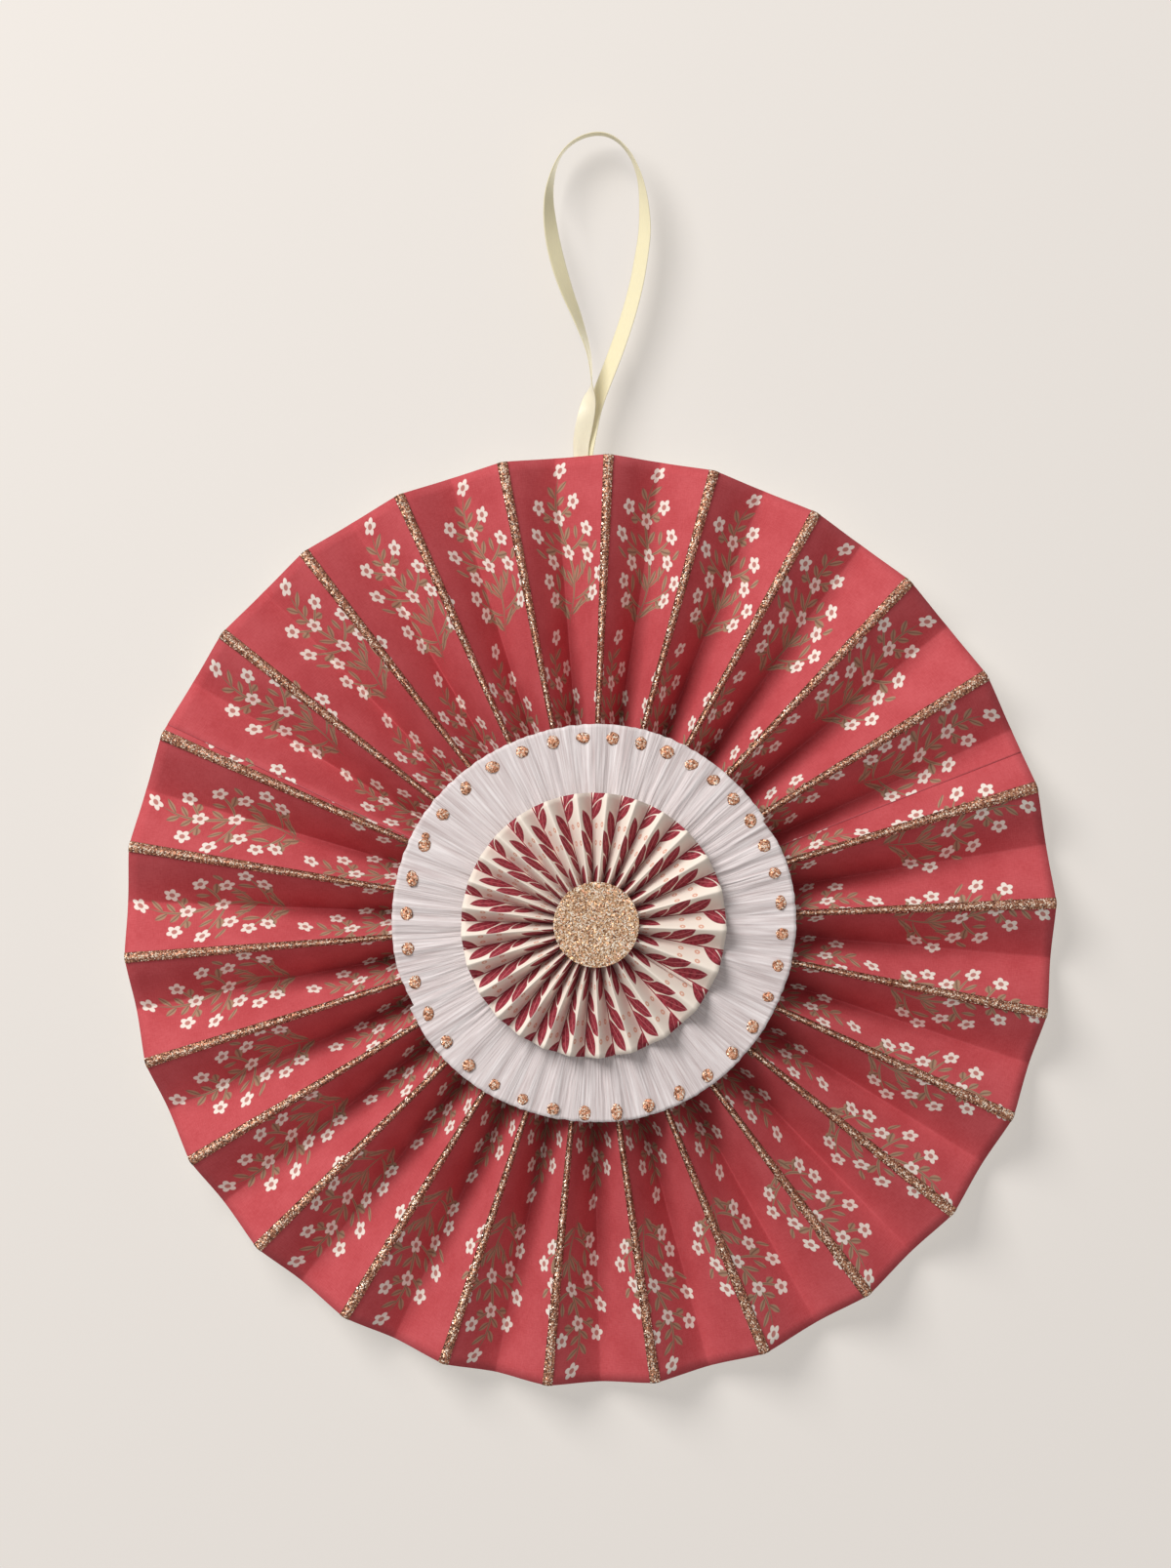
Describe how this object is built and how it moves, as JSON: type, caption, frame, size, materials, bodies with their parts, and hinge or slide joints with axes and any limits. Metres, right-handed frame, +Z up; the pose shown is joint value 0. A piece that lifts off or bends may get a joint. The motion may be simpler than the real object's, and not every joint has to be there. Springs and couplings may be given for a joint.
{
  "type": "paper fan medallion",
  "caption": "Round wall ornament of pleated paper fans with glitter strips and a gathered crepe disc, hung by a ribbon loop.",
  "frame": {"origin": "the large fan's axis, in the plane of the back disc's rear face", "axes": "+Z up as it hangs, with the ribbon loop on top; it faces -Y, and +Y points into the wall"},
  "size_m": [0.3046, 0.0332, 0.4109],
  "materials": {
    "fan_paper": "printed matt paper",
    "small_fan_paper": "printed matt paper",
    "crepe": "crinkled crepe paper",
    "glitter": "rose gold glitter on paper",
    "card": "plain card",
    "ribbon": "satin ribbon"
  },
  "bodies": {
    "root": {"back_disc": "card", "centre_disc": "glitter", "crepe_disc": "crepe", "fan_sheet_long": "fan_paper", "fan_sheet_short": "fan_paper", "front_disc": "card", "glitter_dots": "glitter", "glitter_strip_01": "glitter", "glitter_strip_02": "glitter", "glitter_strip_03": "glitter", "glitter_strip_04": "glitter", "glitter_strip_05": "glitter", "glitter_strip_06": "glitter", "glitter_strip_07": "glitter", "glitter_strip_08": "glitter", "glitter_strip_09": "glitter", "glitter_strip_10": "glitter", "glitter_strip_11": "glitter", "glitter_strip_12": "glitter", "glitter_strip_13": "glitter", "glitter_strip_14": "glitter", "glitter_strip_15": "glitter", "glitter_strip_16": "glitter", "glitter_strip_17": "glitter", "glitter_strip_18": "glitter", "glitter_strip_19": "glitter", "glitter_strip_20": "glitter", "glitter_strip_21": "glitter", "glitter_strip_22": "glitter", "glitter_strip_23": "glitter", "glitter_strip_24": "glitter", "glitter_strip_25": "glitter", "glitter_strip_26": "glitter", "ribbon_loop": "ribbon", "small_fan": "small_fan_paper"}
  },
  "joints": []
}
